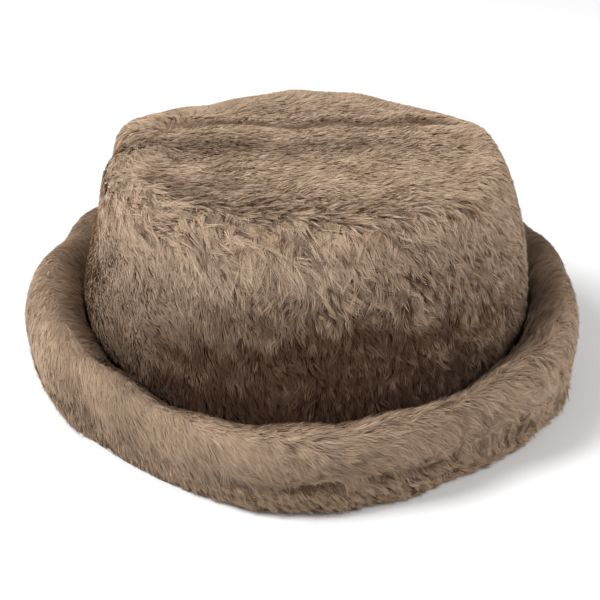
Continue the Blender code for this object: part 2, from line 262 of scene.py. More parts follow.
# Roll: azimuth, and 0 at the crease, 1 on the crest, 2 at the widest, 3 at the foot. Each stretch is
# a quarter of an ellipse, and the inner one is drawn towards a straight slope.
def rollSurface(azimuth, along):
    start, crease, ridge, top, edge, middle = rollMarks(azimuth)
    inner, outer, belly = (np.clip(along - k, 0, 1) for k in range(3))
    turn = inner * math.pi / 2
    radius1 = mix(start, ridge, mix(1 - np.cos(turn), inner, hat["valleyOpenness"]))
    height1 = mix(crease, top, mix(np.sin(turn), inner, hat["valleyOpenness"]))
    turn = outer * math.pi / 2
    radius2, height2 = mix(ridge, edge, np.sin(turn)), mix(top, middle, 1 - np.cos(turn))
    turn = belly * math.pi / 2
    radius3 = mix(edge, ridge + hat["footWidth"] / 2, 1 - np.cos(turn))
    height3 = middle * (1 - np.sin(turn))
    radius = np.where(along < 1, radius1, np.where(along < 2, radius2, radius3))
    height = np.where(along < 1, height1, np.where(along < 2, height2, height3))
    pinch = swells(seamShows, azimuth) * hill(along, partingOf(middle), hat["pinchWidth"])
    return placed(radius - hat["seamPinch"] * pinch, height, azimuth)


# Where the lowest quarter comes down to the seam between the plies
def partingOf(middle):
    return 2 + np.arcsin(1 - hat["partingHeight"] / middle) * 2 / math.pi


# The same for each azimuth
def partingAlong(azimuth):
    return partingOf(rollMarks(azimuth)[5])


# Upper ply: azimuth, and 0 at the crease to 1 at the edge seam
def brimSurface(azimuth, share):
    return rollSurface(azimuth, share * partingAlong(azimuth))


# Under ply: azimuth, and 0 at the edge seam to 1 at the foot
def underSurface(azimuth, share):
    return rollSurface(azimuth, mix(partingAlong(azimuth), 3.0, share))


flatSteps = (0.0005, 0.0005)


# Points, outward normals and the two slopes of a surface, by small steps
def measured(surface, u, v, uStep, vStep):
    alongU = (surface(u + uStep, v) - surface(u - uStep, v)) / (2 * uStep)
    alongV = (surface(u, v + vStep) - surface(u, v - vStep)) / (2 * vStep)
    outward = unit(np.cross(alongV, alongU))
    return lumpy(surface(u, v), outward), outward, alongU, alongV


# A mesh from whole arrays: points, all faces' corners in one row, and where each face starts
def newMesh(name, points, corners, starts):
    mesh = bpy.data.meshes.new(name)
    mesh.vertices.add(len(points))
    mesh.vertices.foreach_set("co", points.astype(np.float32).ravel())
    mesh.loops.add(len(corners))
    mesh.loops.foreach_set("vertex_index", corners.astype(np.int32))
    mesh.polygons.add(len(starts))
    mesh.polygons.foreach_set("loop_start", starts.astype(np.int32))
    mesh.update(calc_edges=True)
    mesh.shade_smooth()
    return mesh


# An object that rides on the hat's one body
def pieceFrom(mesh):
    piece = bpy.data.objects.new(mesh.name, mesh)
    bpy.context.scene.collection.objects.link(piece)
    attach(piece, "root")
    return piece


# Shader sums: a socket in a small class, so that maths is written as Python
class Shade:
    def __init__(self, tree, socket=None):
        self.tree = tree
        self.socket = socket

    def feed(self, target, value):
        if isinstance(value, Shade):
            self.tree.links.new(value.socket, target)
        else:
            target.default_value = value

    def node(self, kind, settings, inputs, output=0):
        made = self.tree.nodes.new(kind)
        for name, value in settings.items():
            setattr(made, name, value)
        for name, value in inputs.items():
            self.feed(made.inputs[name], value)
        return Shade(self.tree, made.outputs[output])

    def math(self, operation, a, b):
        return self.node("ShaderNodeMath", {"operation": operation}, {0: a, 1: b})

    def __add__(self, other):
        return self.math("ADD", self, other)

    def __radd__(self, other):
        return self.math("ADD", other, self)

    def __sub__(self, other):
        return self.math("SUBTRACT", self, other)

    def __rsub__(self, other):
        return self.math("SUBTRACT", other, self)

    def __mul__(self, other):
        return self.math("MULTIPLY", self, other)

    def __rmul__(self, other):
        return self.math("MULTIPLY", other, self)

    def between(self, low, high):
        return self.node("ShaderNodeMix", {"data_type": "RGBA"}, {0: self, 6: low, 7: high}, 2)


clothShine = {"specular": 0.1, "sheenRoughness": 0.5}


# A rough cloth with little shine
def newMaterial(name, roughness, sheen):
    material = bpy.data.materials.new(name)
    material.use_nodes = True
    shader = material.node_tree.nodes["Principled BSDF"]
    shader.inputs["Roughness"].default_value = roughness
    shader.inputs["Specular IOR Level"].default_value = clothShine["specular"]
    shader.inputs["Sheen Weight"].default_value = sheen
    shader.inputs["Sheen Roughness"].default_value = clothShine["sheenRoughness"]
    return material, shader, Shade(material.node_tree)


furLook = {
    "root": (0.260, 0.155, 0.090, 1),
    "tip": (0.475, 0.331, 0.229, 1),
    "pale": (0.740, 0.565, 0.425, 1),
    "olive": (0.360, 0.265, 0.150, 1),
    # deep is the colour of the painted shade; the strands' tips take less of it
    "deep": (0.050, 0.018, 0.008, 1),
    "tipsStayLight": 0.1,  # how much less deep a strand's tip is than its root
    "patchScale": 16.0,
    "roughness": 0.8,
    "sheen": 0.03,
}

# How much of the olive and the pale tones each piece has
shares = {
    "tip": {"olive": 0.45, "pale": 0.75},
    "wall": {"olive": 0.45, "pale": 0.70},
    "brim": {"olive": 0.30, "pale": 0.55},
    "under": {"olive": 0.55, "pale": 0.35},
}


# Strands: dark at the root and light at the tip, each with its own tone, in wide soft patches, with painted
# highlights in the tone and painted shade from 'deep'
def furMaterial(name, share):
    material, shader, start = newMaterial(name, furLook["roughness"], furLook["sheen"])
    tone = start.node("ShaderNodeAttribute", {"attribute_name": "tone"}, {}, "Fac")
    along = start.node("ShaderNodeAttribute", {"attribute_name": "along"}, {}, "Fac")
    deep = start.node("ShaderNodeAttribute", {"attribute_name": "deep"}, {}, "Fac")
    place = start.node("ShaderNodeTexCoord", {}, {}, "Object")
    patch = start.node("ShaderNodeTexNoise", {}, {"Vector": place, "Scale": furLook["patchScale"]}, "Fac")
    colour = along.between(furLook["root"], furLook["tip"])
    colour = (patch * share["olive"]).between(colour, furLook["olive"])
    # Paler by each strand's tone, which holds random tone and the painted highlights
    colour = (tone * along * share["pale"]).between(colour, furLook["pale"])
    # Painted shade: darker towards the deep colour by the 'deep' value
    colour = (deep * (1 - along * furLook["tipsStayLight"])).between(colour, furLook["deep"])
    start.feed(shader.inputs["Base Color"], colour)
    return material


hideLook = {
    "dark": (0.28, 0.185, 0.12, 1),
    "light": (0.45, 0.315, 0.215, 1),
    "streaks": (1400.0, 20.0, 1.0),  # how many across the lay, and along it
    "roughness": 0.95,
    "bump": 0.6,
    "bumpHeight": 0.001,
}


# Pile under the strands: the roots' colour in fine streaks that follow the lay, darkened by painted shade
def hideMaterial():
    material, shader, start = newMaterial("hideUnderPile", hideLook["roughness"], 0.0)
    grain = start.node("ShaderNodeUVMap", {"uv_map": "grain"}, {})
    place = start.node("ShaderNodeVectorMath", {"operation": "MULTIPLY"}, {0: grain, 1: hideLook["streaks"]})
    mottle = start.node("ShaderNodeTexNoise", {}, {"Vector": place, "Scale": 1.0}, "Fac")
    deep = start.node("ShaderNodeAttribute", {"attribute_name": "deep"}, {}, "Fac")
    colour = mottle.between(hideLook["dark"], hideLook["light"])
    # Painted shade: the streaks darkened towards the deep colour by the 'deep' value
    start.feed(shader.inputs["Base Color"], deep.between(colour, furLook["deep"]))
    relief = {"Height": mottle, "Strength": hideLook["bump"], "Distance": hideLook["bumpHeight"]}
    start.feed(shader.inputs["Normal"], start.node("ShaderNodeBump", {}, relief))
    return material


knitLook = {
    "dark": (0.19, 0.14, 0.10, 1),
    "light": (0.27, 0.21, 0.16, 1),
    "ribScale": 160.0,
    "roughness": 0.9,
    "sheen": 0.1,
    "bump": 0.5,
    "bumpHeight": 0.0006,
}


# Knitted back of the fur cloth, seen only from below
def knitMaterial():
    material, shader, start = newMaterial("knitBack", knitLook["roughness"], knitLook["sheen"])
    place = start.node("ShaderNodeTexCoord", {}, {}, "Object")
    pattern = {"Vector": place, "Scale": knitLook["ribScale"]}
    ribs = start.node("ShaderNodeTexWave", {"bands_direction": "Z"}, pattern, "Fac")
    start.feed(shader.inputs["Base Color"], ribs.between(knitLook["dark"], knitLook["light"]))
    relief = {"Height": ribs, "Strength": knitLook["bump"], "Distance": knitLook["bumpHeight"]}
    start.feed(shader.inputs["Normal"], start.node("ShaderNodeBump", {}, relief))
    return material


# Where a point stands from the hat's axis
def fromAxis(points):
    away = points - np.array([*hat["axis"], 0.0])
    away[..., 2] = 0
    return unit(away)


# Azimuth of each point, from 0 to 360
def turnOf(points):
    return np.degrees(np.arctan2(points[:, 1] - hat["axis"][1], points[:, 0] - hat["axis"][0])) % 360


# Distance of each point from the hat's axis
def radiusOf(points):
    return np.hypot(points[:, 0] - hat["axis"][0], points[:, 1] - hat["axis"][1])


# Distance of each point behind the hat's axis
def backOf(points):
    return points[:, 1] - hat["axis"][1]


# Sum of size * hill for rows of middle, width and size
def hills(value, rows):
    return sum(size * hill(value, middle, width) for middle, width, size in rows)


# Soft ramp from 0 at the start to 1 a span further up
def rising(value, start, span):
    return ease((value - start) / span)


# Soft ramp from 0 at the start to 1 a span further down
def falling(value, start, span):
    return ease((start - value) / span)


# Painted shade: how far each place's colour is darkened towards the deep colour, where the pile lies in
# shade. Bands are rows of middle, width and size, ramps are a start and a span, and each noise is its size,
# seed and strength.
tipShade = {
    "plain": 0.02,
    "patches": (  # x, its width, distance back, its width, size
        (-0.044, 0.028, 0.006, 0.013, 0.620),
        (0.013, 0.036, 0.009, 0.011, 0.527),
        (-0.033, 0.020, -0.039, 0.011, 0.496)),
    "front": ((-0.060, 0.020, 0.14),),
    "line": (0.0034, 0.0016, 0.75),  # on the fold's face: how far in front of it, width, size
    "lineEnds": (0.072, 0.012),
    "behind": (0.004, 0.006, 0.14),  # behind the fold: from where, span, size
    "fringeRing": (0.0690, 0.0050),
    "fringe": ((224, 24, 0.42),),
    "noise": (0.024, 4, 0.09),
}
wallShade = {
    "plain": 0.07,
    "front": ((278, 44, 0.85),),
    "sides": 0.30,
    "low": (0.101, 0.056),
    "lowDepth": 1.12,
    "crease": (0.006, 0.45),  # how fast it fades above the crease, and its size
    "noises": ((0.020, 5, 0.24), (0.008, 7, 0.16)),
}
rollShade = {
    "plain": 0.19,
    "round": ((155, 26, 0.14), (195, 20, -0.10), (345, 30, -0.20)),
    "seam": (0.0018, 0.70),  # width and size
    "noise": (0.030, 6, 0.07),
}


# Noise of a given size, seed and strength
def noise(points, size, seed, strength):
    return strength * softNoise(points, size, seed)


# Painted shade on the tip: the fold's face, patches before the fold, the front edge, the fringe at the left,
# and behind the fold
def tipPaintedShade(points):
    back, radius = backOf(points), radiusOf(points)
    patches = sum(size * hill(points[:, 0], x, wide) * hill(back, middle, deep)
                  for x, wide, middle, deep, size in tipShade["patches"])
    ahead, width, size = tipShade["line"]
    line = size * hill(back, hat["foldBack"] - ahead, width) * (1 - rising(radius, *tipShade["lineEnds"]))
    start, span, size = tipShade["behind"]
    behind = size * rising(back, hat["foldBack"] + start, span)
    fringe = hill(radius, *tipShade["fringeRing"]) * hills(turnOf(points), tipShade["fringe"])
    front = hills(back, tipShade["front"])
    return line + fringe + patches + front + behind + noise(points, *tipShade["noise"]) + tipShade["plain"]


# Painted shade on the wall: low down, most on the front, and along the crease, with patches where it is deep
def wallPaintedShade(points):
    turn = turnOf(points)
    front = hills(turn, wallShade["front"]) + wallShade["sides"]
    low = falling(points[:, 2], *wallShade["low"])
    fade, size = wallShade["crease"]
    crease = size * np.exp(-np.maximum(points[:, 2] - creaseHeight(turn), 0) / fade)
    patches = sum(noise(points, *row) for row in wallShade["noises"]) * low * front
    return np.clip(wallShade["plain"] + wallShade["lowDepth"] * front * low + crease + patches, 0, 1)


# Painted shade on the roll: soft bands round it, and along the seam at its edge
def rollPaintedShade(points):
    turn = turnOf(points)
    width, size = rollShade["seam"]
    seam = size * swells(seamShows, turn) * hill(points[:, 2], hat["partingHeight"], width)
    return rollShade["plain"] + hills(turn, rollShade["round"]) + seam + noise(points, *rollShade["noise"])


# The cloth under the pile. Its depths are below the pile's outer form.
hide = {
    "columns": 144,
    "rows": 22,
    "ends": (0.02, 0.98),  # shares of each surface between which its cloth runs
    "steps": (0.5, 0.004),
    "wallDepth": 0.0021,
    "rollDepth": 0.0021,
    "underDepth": 0.003,
    "tipDepth": 0.0014,
    "foldDepth": 0.0014,  # added to the tip's under the groove of the fold
    "foldSpread": 0.008,
    "overlap": 0.003,  # past the seam of the tip
    "leastThickness": 0.0012,
    "middle": 0.02,  # the tip's innermost ring, as a share of the outermost
    "innerRows": 12,
    "innerGap": 0.0005,
    "footInset": 0.004,
    "plyGap": 0.001,
    "wallGap": 0.0006,
    "cutShare": 0.6,  # of the crease's height, where the brim's plies meet the wall
}
tipBottom = hat["height"] - hat["tipThickness"]
wallFoot = hat["wallBottom"] + hide["innerGap"]


# A named number for each point of a mesh
def addValues(mesh, name, values):
    values = values.astype(np.float32).ravel()
    mesh.attributes.new(name, "FLOAT", "POINT").data.foreach_set("value", values)


# A named map: two numbers for each corner of a mesh
def addMap(mesh, name, places):
    mesh.uv_layers.new(name=name).uv.foreach_set("vector", places.astype(np.float32).ravel())


# A ring from one closed section for each azimuth: grid of rows along the section by columns round
def ringPiece(name, sections, node, materials, innerRows, paintedShadeOf):
    points = np.concatenate(sections)
    rows, columns = points.shape[:2]
    i, j = np.meshgrid(np.arange(rows), np.arange(columns), indexing="ij")
    nextRow, nextColumn = (i + 1) % rows, (j + 1) % columns
    quads = np.stack([i * columns + j, nextRow * columns + j,
                      nextRow * columns + nextColumn, i * columns + nextColumn], axis=-1)
    mesh = newMesh(name, points.reshape(-1, 3), quads.ravel(), np.arange(rows * columns) * 4)
    for material in materials:
        mesh.materials.append(material)
    mesh.polygons.foreach_set("material_index", (i >= rows - innerRows).astype(np.int32).ravel())
    # Painted shade for each point, stored as 'deep'
    addValues(mesh, "deep", paintedShadeOf(points.reshape(-1, 3)))
    corner = np.array([(0, 0), (0, 1), (1, 1), (1, 0)])
    addMap(mesh, "grain", (np.stack([j, i], axis=-1)[..., None, :] + corner) / np.array([columns, rows]))
    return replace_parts(pieceFrom(mesh), node)


# A surface moved in along its normals
def sunk(surface, azimuth, share, depth):
    points, outward, _, _ = measured(surface, azimuth, share, *hide["steps"])
    return points - outward * depth


# One row of a ring's section
def ringRow(radius, height, azimuth):
    return placed(radius, height, azimuth)[None]


# Wall: sunk outside, foot, and the plain inside from the foot up to the tip
def makeWallHide(azimuth, grid, shareGrid, materials):
    outside = sunk(wallSurface, grid, shareGrid, hide["wallDepth"])
    foot = ringRow(wallRadius(wallFoot, azimuth) - hide["footInset"], wallFoot, azimuth)
    rises = np.linspace(wallFoot, tipBottom - hide["innerGap"], hide["innerRows"])
    rise, turn = np.meshgrid(rises, azimuth, indexing="ij")
    inside = placed(wallInnerRadius(rise, turn), rise, turn)
    ringPiece("wallHide", [outside, foot, inside], "crown_side", materials,
              hide["innerRows"] + 1, wallPaintedShade)


# Brim: the upper ply sunk and cut level over the seam, and the lower ply moved in under it
def makeBrimHides(azimuth, grid, shareGrid, materials):
    roll = sunk(brimSurface, grid, shareGrid, hide["rollDepth"])
    plyBottom = hat["partingHeight"] + hide["plyGap"]
    roll[..., 2] = np.maximum(roll[..., 2], plyBottom)
    cutHeight = np.minimum(creaseHeight(azimuth) * hide["cutShare"], plyBottom)
    cutRadius = wallRadius(cutHeight, azimuth) + hide["wallGap"]
    cut = ringRow(cutRadius, cutHeight, azimuth)
    ringPiece("brimHide", [roll, cut], "brim_top", materials, 0, rollPaintedShade)

    below = underSurface(grid, shareGrid)
    below -= fromAxis(below) * hide["underDepth"]
    below[..., 2] = np.clip(below[..., 2], hat["floorGap"], hat["partingHeight"])
    footInner = ringRow(rollMarks(azimuth)[2] - hat["footWidth"] / 2, hat["floorGap"], azimuth)
    atWall = ringRow(wallRadius(wallFoot, azimuth) + hide["wallGap"], wallFoot, azimuth)
    upper = ringRow(cutRadius, cutHeight - hide["wallGap"], azimuth)
    sections = [below, footInner, atWall, upper]
    ringPiece("underHide", sections, "brim_under", materials, 0, rollPaintedShade)


# Tip: rings shrinking to the middle above, and a plain disc below
def makeTipHide(azimuth, materials):
    shrink = np.linspace(1.0, hide["middle"], hide["rows"])[:, None]
    reach = shrink * (seamAlong(azimuth) + hide["overlap"])
    back, right = reach * np.sin(np.radians(azimuth)), reach * np.cos(np.radians(azimuth))
    points, outward, _, _ = measured(tipCloth, back, right, *flatSteps)
    groove = hill(back, hat["foldBack"] - hat["grooveFront"], hide["foldSpread"])
    depth = hide["tipDepth"] + hide["foldDepth"] * groove
    top = (points - outward * depth[..., None])[::-1]
    top[..., 2] = np.maximum(top[..., 2], tipBottom + hide["leastThickness"])
    innerSeam = wallInnerRadius(seamHeight, azimuth)
    rim = ringRow(innerSeam, tipBottom, azimuth)
    middle = ringRow(innerSeam * hide["middle"], tipBottom, azimuth)
    ringPiece("tipHide", [top, rim, middle], "tip", materials, 2, tipPaintedShade)


# All the cloth: rows from one end of a surface to the other, columns round the hat
def makeHides(materials):
    azimuth = np.arange(hide["columns"]) * 360.0 / hide["columns"]
    shareGrid, grid = np.meshgrid(np.linspace(*hide["ends"], hide["rows"]), azimuth, indexing="ij")
    makeWallHide(azimuth, grid, shareGrid, materials)
    makeBrimHides(azimuth, grid, shareGrid, materials)
    makeTipHide(azimuth, materials)


# Two numbers from 0 to 1 for each clump that fill a square evenly: multiples of two constants that
# never line up, each taken without its whole part
evenSteps = (0.7548776662, 0.5698402910)


def evenPairs(count):
    k = np.arange(count) + 0.5
    return tuple((k * step) % 1 for step in evenSteps)


areaGrid = {"round": 90, "across": 160, "steps": (0.4, 0.002)}


# Even places on a ring surface: uniform round it, and by the area that lies before each share
def ringPlaces(surface, turn, count, last=1.0):
    azimuths, across = np.linspace(*turn, areaGrid["round"]), np.linspace(0.0, last, areaGrid["across"])
    azimuth, share = np.meshgrid(azimuths, across, indexing="ij")
    _, _, alongU, alongV = measured(surface, azimuth, share, *areaGrid["steps"])
    area = np.linalg.norm(np.cross(alongU, alongV), axis=-1).mean(axis=0)
    before = np.concatenate([[0.0], np.cumsum((area[1:] + area[:-1]) / 2)])
    around, outwards = evenPairs(count)
    return mix(*turn, around), np.interp(outwards, before / before[-1], across)


# Even places on the tip: the square root of a share goes out from its middle to just past the seam
def tipPlaces(count):
    around, outwards = evenPairs(count)
    azimuth = around * 360
    reach = np.sqrt(outwards) * (seamAlong(azimuth) + fur["pastSeam"])
    return reach * np.sin(np.radians(azimuth)), reach * np.cos(np.radians(azimuth))


# Moves of a given length in the surface: solves the tangent vector for its two parameters
def stepsFor(vectors, alongU, alongV):
    uu, uv, vv = ((a * b).sum(-1) for a, b in ((alongU, alongU), (alongU, alongV), (alongV, alongV)))
    du, dv = (vectors * alongU).sum(-1), (vectors * alongV).sum(-1)
    spare = np.maximum(uu * vv - uv * uv, 1e-18)
    return (du * vv - dv * uv) / spare, (dv * uu - du * uv) / spare


fur = {
    "inClump": 9,
    "pastSeam": 0.002,  # how far past its seam the tip's pile is rooted
    "rootSpread": 0.0023,
    "tipSpread": 0.0014,
    "width": 0.00032,
    "widths": (0.7, 1.3),
    "twist": 0.55,
    "bend": 0.10,
    "middleRise": 0.3,  # how much of the lift and the depth a strand has halfway
    "clumpLengths": (0.75, 1.25),
    "strandLengths": (0.8, 1.15),
    "uneven": (0.03, 0.25),  # size and strength of the soft change in length
    "wanderSize": 0.022,
    "tone": 0.45,
    "toneSpread": 0.20,
    "toneDrift": (0.02, 0.28),  # size and strength of the soft change in tone
    "toneMost": 1.3,
    "clumpShare": 0.75,  # how much of a strand's tone is its clump's
    "strandTones": (-0.2, 0.45),
    # steady: where the painted shade is deep, clumps differ less in it
    "steady": 0.6,  # how much less tufts differ where the pile is deep
    "halfway": 0.55,  # where the middle stands between the root's tone and the tip's
}

# What changes from combed pile to tufted pile, the first number to the second
tufting = {
    "swing": (0.5, 1.5),
    "wander": (0.6, 1.3),
    "lift": (0.5, 2.0),
    "bend": (0.4, 1.3),
    "width": (1.1, 0.8),
    "tipSpread": (1.3, 0.6),
    "clumpTone": (0.6, 1.6),
    "strandTone": (0.6, 1.5),
    "softness": (0.85, 0.36),  # how far the shading follows the cloth and not the strand
    "rootTone": (0.55, 0.05),
    "opening": (0.03, 0.50),
}


# One value or row for each strand of each clump
def forEach(values):
    return np.repeat(values, fur["inClump"], axis=0)


# How each clump lies: its own swing from the lay, length, lift and tone, the tone with the painted highlight
# added
def combed(rng, points, outward, look, seed):
    clumps = len(points)
    lay = look["lay"](points, outward)
    lay = unit(lay - outward * (lay * outward).sum(-1, keepdims=True))
    side = np.cross(outward, lay)
    rough = np.clip(look["rough"](points), 0, 1)
    swing = rng.normal(0, look["swing"], clumps) * mix(*tufting["swing"], rough)
    wander = look["wander"] * mix(*tufting["wander"], rough)
    swing += softNoise(points, fur["wanderSize"], seed + 1) * wander
    swing *= look["stray"](points)
    lay = lay * np.cos(swing)[:, None] + side * np.sin(swing)[:, None]
    size, strength = fur["uneven"]
    run = look["length"] * rng.uniform(*fur["clumpLengths"], clumps)
    run *= (1 + strength * softNoise(points, size, seed + 2)) * look["longer"](points)
    lift = (look["lift"] + rng.normal(0, look["liftSpread"], clumps)) * mix(*tufting["lift"], rough)
    size, strength = fur["toneDrift"]
    change = fur["toneSpread"] * rng.normal(size=clumps) + strength * softNoise(points, size, seed + 3)
    # The painted highlight is added to the clump's tone
    tone = fur["tone"] + change * mix(*tufting["clumpTone"], rough) + look["paintedHighlight"](points)
    tone = np.clip(tone, 0, fur["toneMost"])
    return {"lay": lay, "side": side, "rough": rough, "run": run, "lift": lift, "tone": tone}


# Each strand has its own small cell in the map, laid root to tip
strandCell = np.array([(0.5, 0.1), (0.85, 0.5), (0.15, 0.5), (0.15, 0.5), (0.85, 0.5), (0.5, 0.9)])


def addCells(mesh, count):
    cells = math.ceil(math.sqrt(count))
    cell = np.stack([np.arange(count) % cells, np.arange(count) // cells], axis=-1)[:, None]
    addMap(mesh, "OFBake", (cell + strandCell) / cells)


# Fur on a surface. Each clump has its own lay, length and tone. A strand runs from its root on the
# sunk cloth along the surface to its tip at the outer form, as a ribbon of two triangles, widest halfway.
def growFur(name, surface, clumpPlaces, look, material, seed):
    rng = np.random.default_rng(seed)
    clumpU, clumpV = clumpPlaces
    u, v = forEach(clumpU), forEach(clumpV)
    count, clumps = len(u), len(clumpU)
    points, outward, alongU, alongV = measured(surface, clumpU, clumpV, *look["steps"])
    clump = combed(rng, points, outward, look, seed)
    rough = clump["rough"]

    slopeU, slopeV = forEach(alongU), forEach(alongV)
    around = unit(rng.normal(size=(count, 3))) * (rng.uniform(0, 1, (count, 1)) ** 0.5)
    rootU, rootV = stepsFor(around * fur["rootSpread"], slopeU, slopeV)
    run = forEach(clump["run"]) * rng.uniform(*fur["strandLengths"], count)
    fan = around * fur["tipSpread"] * forEach(mix(*tufting["tipSpread"], rough))[:, None]
    tipU, tipV = stepsFor(forEach(clump["lay"]) * run[:, None] + fan, slopeU, slopeV)
    halfU, halfV = mix(rootU, tipU, 0.5), mix(rootV, tipV, 0.5)
    rootPoint, rootOut, _, _ = measured(surface, u + rootU, v + rootV, *look["steps"])
    middlePoint, middleOut, _, _ = measured(surface, u + halfU, v + halfV, *look["steps"])
    tipPoint, tipOut, _, _ = measured(surface, u + tipU, v + tipV, *look["steps"])
    high = forEach(clump["lift"]) + rng.normal(0, look["liftSpread"] / 2, count)
    root = rootPoint - rootOut * look["depth"]
    bend = rng.normal(0, fur["bend"], clumps) * mix(*tufting["bend"], rough) * clump["run"]
    bend = forEach(clump["side"] * bend[:, None])
    middle = middlePoint + bend + middleOut * (fur["middleRise"] * (high - look["depth"]))[:, None]
    tip = tipPoint + tipOut * high[:, None]

    across = unit(np.cross(tip - root, rootOut))
    twist = rng.normal(0, fur["twist"], count)[:, None]
    across = unit(across * np.cos(twist) + rootOut * np.sin(twist))
    width = fur["width"] * rng.uniform(*fur["widths"], count) * forEach(mix(*tufting["width"], rough))
    half = across * (width / 2)[:, None]
    verts = np.stack([root, middle + half, middle - half, tip], axis=1)
    verts[..., 2] = np.maximum(verts[..., 2], hat["floorGap"])
    card = unit(np.cross(half, tip - root))
    card *= np.sign((card * rootOut).sum(-1, keepdims=True) + 1e-9)
    shading = unit(mix(card, rootOut, forEach(mix(*tufting["softness"], rough))[:, None]))
    flip = (np.cross(verts[:, 1] - verts[:, 0], verts[:, 2] - verts[:, 0]) * rootOut).sum(-1) < 0
    verts[flip] = verts[flip][:, [0, 2, 1, 3]]

    corners = (np.arange(count)[:, None] * 4 + np.array([0, 1, 2, 2, 1, 3])).ravel()
    mesh = newMesh(name, verts.reshape(-1, 3), corners, np.arange(count * 2) * 3)
    mesh.normals_split_custom_set_from_vertices(np.repeat(shading, 4, axis=0).tolist())
    tone = rng.uniform(*fur["strandTones"], count) * forEach(mix(*tufting["strandTone"], rough))
    tone += forEach(clump["tone"]) * fur["clumpShare"]
    addValues(mesh, "tone", np.repeat(np.clip(tone, 0, 1), 4))
    # Painted shade for each point, with each clump's random share of it, more where the pile is tufted
    opening = rng.normal(0, 1, clumps) * mix(*tufting["opening"], rough)
    deep = look["deep"](verts.reshape(-1, 3))
    deep += np.repeat(forEach(opening), 4) * (1 - fur["steady"] * deep)
    addValues(mesh, "deep", np.clip(deep, 0, 1))
    start = forEach(mix(*tufting["rootTone"], rough))
    halfway = mix(start, 1, fur["halfway"])
    addValues(mesh, "along", np.stack([start, halfway, halfway, np.ones(count)], axis=-1))
    addCells(mesh, count)
    mesh.materials.append(material)
    print(name, count, "strands,", count * 2, "triangles")
    return pieceFrom(mesh)


# Round the hat with the azimuth growing: to the right at the front, forwards on the left
def roundward(points):
    return fromAxis(points)[:, [1, 0, 2]] * np.array([-1.0, 1.0, 1.0])


# How the pile lies. Bands are rows of middle, width and size, and ramps are a start and a span.
combing = {
    "tipSpill": (0.55, 0.40),  # in shares of the seam's radius
    "tipKept": ((200, 40, 1.0),),  # where it doesn't spill over the edge
    "tipForward": 0.35,
    "besideFold": 0.014,
    "tipEdge": (0.066, 0.024),
    "tipRound": ((198, 28, 2.4),),
    "tipSpillRound": 0.25,
    "wallLeft": ((195, 48, 1.0),),
    "wallLessDown": 0.75,
    "wallRound": 0.15,
    "rollDown": -0.4,
    "rollSwept": ((272, 56, 1.35),),
}


# Lay of the tip: across it to the right, along the fold beside it, then outwards over the edge, but
# round and inwards on the left
def tipLay(points, outward):
    turn, radius = turnOf(points), radiusOf(points)
    spill = rising(radius / hat["seamRadius"], *combing["tipSpill"]) * (1 - hills(turn, combing["tipKept"]))
    forward = combing["tipForward"] * (1 - hill(backOf(points), hat["foldBack"], combing["besideFold"]))
    across = np.stack([np.ones_like(forward), -forward, np.zeros_like(forward)], axis=-1)
    edge = rising(radius, *combing["tipEdge"]) * hills(turn, combing["tipRound"])
    across = across + roundward(points) * edge[:, None]
    over = fromAxis(points) + roundward(points) * combing["tipSpillRound"]
    return mix(across, over, spill[:, None])


# Lay of the wall: down, and round towards the front on the hat's left
def wallLay(points, outward):
    left = hills(turnOf(points), combing["wallLeft"])[:, None]
    down = np.array([0, 0, -1.0]) * (1 - combing["wallLessDown"] * left)
    return down + roundward(points) * (combing["wallRound"] + left)


# Lay of the roll: out across it from the crease, swept to the right at the front
def rollLay(points, outward):
    around = np.cross(np.array([0, 0, 1.0]), outward)
    over = np.cross(around, outward)
    outAndDown = fromAxis(points) + np.array([0, 0, combing["rollDown"]])
    over = over * np.sign((over * outAndDown).sum(-1, keepdims=True))
    return over + roundward(points) * hills(turnOf(points), combing["rollSwept"])[:, None]


# Painted highlights: where the combed pile catches the light, its tone is painted paler
paintedHighlightBands = {
    "shoulder": ((225, 30, 0.720), (270, 28, 0.468)),
    "shoulderRing": (0.003, 0.010),  # how far inside the seam, and width
    "fold": (0.0004, 0.0018, 0.60),  # how far behind the fold, width, size
    "roll": ((350, 35, 0.45), (195, 25, 0.12)),
}


# Painted highlight along the shoulder on the front, most on its left
def shoulderPaintedHighlight(points):
    inside, width = paintedHighlightBands["shoulderRing"]
    ring = hill(radiusOf(points), hat["seamRadius"] - inside, width)
    return hills(turnOf(points), paintedHighlightBands["shoulder"]) * ring


# Painted highlight on the shoulder, and on the top of the fold
def tipPaintedHighlight(points):
    behind, width, size = paintedHighlightBands["fold"]
    return shoulderPaintedHighlight(points) + size * hill(backOf(points), hat["foldBack"] + behind, width)


# Painted highlight in soft bands round the roll
def rollPaintedHighlight(points):
    return hills(turnOf(points), paintedHighlightBands["roll"])


# How tufted the pile is: 0 combed smooth, 1 in open tufts
tufted = {
    "tip": 0.30,
    "tipFront": (-0.036, 0.030, 0.70),  # ramp and size
    "tipShoulder": ((222, 26, 0.60),),
    "tipShoulderRing": (0.068, 0.008),
    "behindFold": (0.010, 0.30),  # span and size
    "wallRight": ((320, 45, 0.50),),
    "wallFront": ((275, 42, 1.0),),
    "wallLow": 0.35,
    "wallHigh": (0.072, 0.015),
    "roll": 0.05,
    "rollRight": ((320, 60, 0.60),),
    "rollUnder": (0.018, 0.006, 0.55),  # ramp and size
}


# More at the front and on the left shoulder, less behind the fold
def tipRough(points):
    back = backOf(points)
    start, span, size = tufted["tipFront"]
    front = size * falling(back, start, span)
    ring = rising(radiusOf(points), *tufted["tipShoulderRing"])
    shoulder = hills(turnOf(points), tufted["tipShoulder"]) * ring
    span, size = tufted["behindFold"]
    return tufted["tip"] + front + shoulder - size * rising(back, hat["foldBack"], span)


